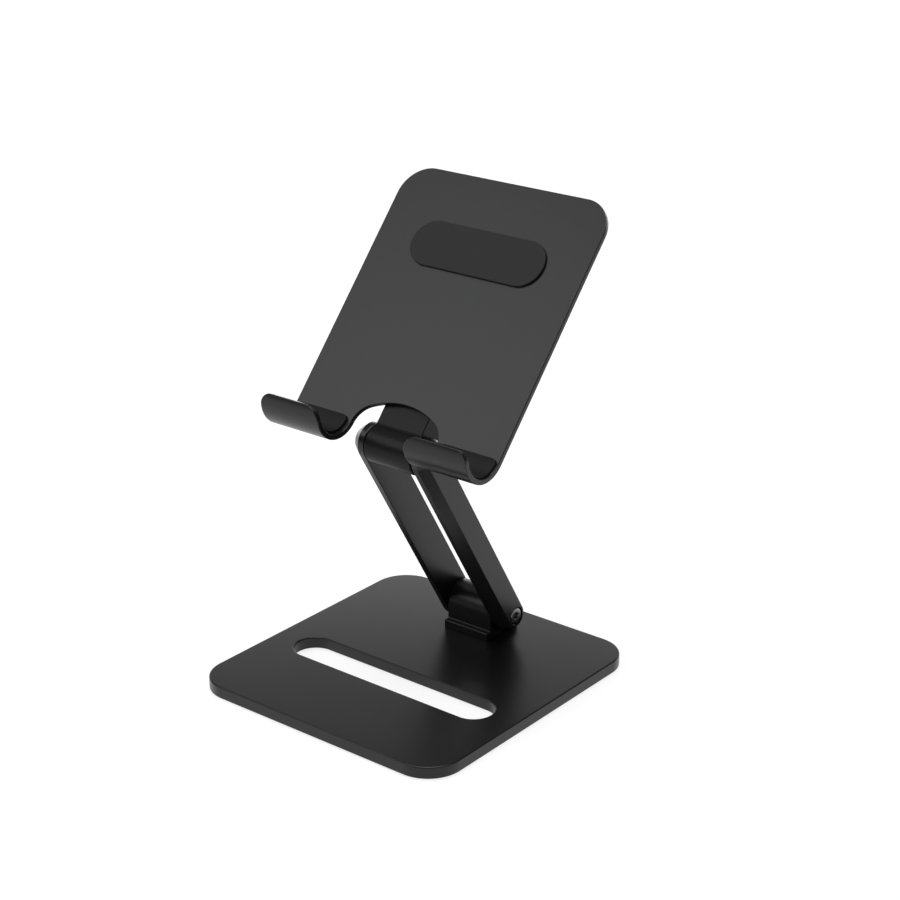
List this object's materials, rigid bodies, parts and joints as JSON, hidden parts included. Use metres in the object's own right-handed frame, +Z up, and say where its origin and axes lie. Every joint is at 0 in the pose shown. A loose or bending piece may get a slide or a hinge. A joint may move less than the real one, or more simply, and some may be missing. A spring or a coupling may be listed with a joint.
{
  "type": "phone stand",
  "caption": "Folding desk stand for a phone: slotted base plate, two flat arms between friction hinges, and a leaning back plate with two J-shaped lips.",
  "frame": {"origin": "on the desk, under the middle of the base plate", "axes": "+X to the right of someone facing the phone, +Y to the back, +Z up"},
  "size_m": [0.1154, 0.1208, 0.1789],
  "materials": {
    "black_aluminium": "satin black anodised",
    "dark_silicone": "matt dark grey silicone",
    "bright_steel": "bright turned steel",
    "black_steel": "blackened steel",
    "bearing_plastic": "plain grey acetal"
  },
  "bodies": {
    "base": {"base_plate": "black_aluminium", "hinge_block": "black_aluminium", "foot_front_left": "dark_silicone", "foot_rear_left": "dark_silicone", "foot_front_right": "dark_silicone", "foot_rear_right": "dark_silicone", "base_screw_left": "black_steel", "base_screw_right": "black_steel", "lower_bush_left": "bearing_plastic", "lower_bush_right": "bearing_plastic"},
    "arms": {"arm_left": "black_aluminium", "arm_right": "black_aluminium", "lower_axle": "bright_steel", "lower_disc_spring_left": "bright_steel", "lower_hinge_screw_left": "bright_steel", "lower_friction_washer_left": "black_steel", "lower_disc_spring_right": "bright_steel", "lower_hinge_screw_right": "bright_steel", "lower_friction_washer_right": "black_steel", "upper_axle": "bright_steel", "upper_disc_spring_left": "bright_steel", "upper_hinge_screw_left": "bright_steel", "upper_friction_washer_left": "black_steel", "upper_disc_spring_right": "bright_steel", "upper_hinge_screw_right": "bright_steel", "upper_friction_washer_right": "black_steel"},
    "holder": {"back_plate": "black_aluminium", "hinge_bracket": "black_aluminium", "rest_pad": "dark_silicone", "lip_liner_left": "dark_silicone", "lip_liner_right": "dark_silicone", "bracket_nut_lower": "black_steel", "bracket_nut_upper": "black_steel", "upper_bush_left": "bearing_plastic", "upper_bush_right": "bearing_plastic"}
  },
  "joints": [
    {"name": "lower_hinge", "type": "hinge", "parent": "base", "child": "arms", "pos_m": [0, 0.0396, 0.0146], "axis": [1, 0, 0], "range_deg": [-35, 54]},
    {"name": "upper_hinge", "type": "hinge", "parent": "arms", "child": "holder", "pos_m": [0, -0.00873, 0.09441], "axis": [1, 0, 0], "range_deg": [-95, 25]}
  ]
}
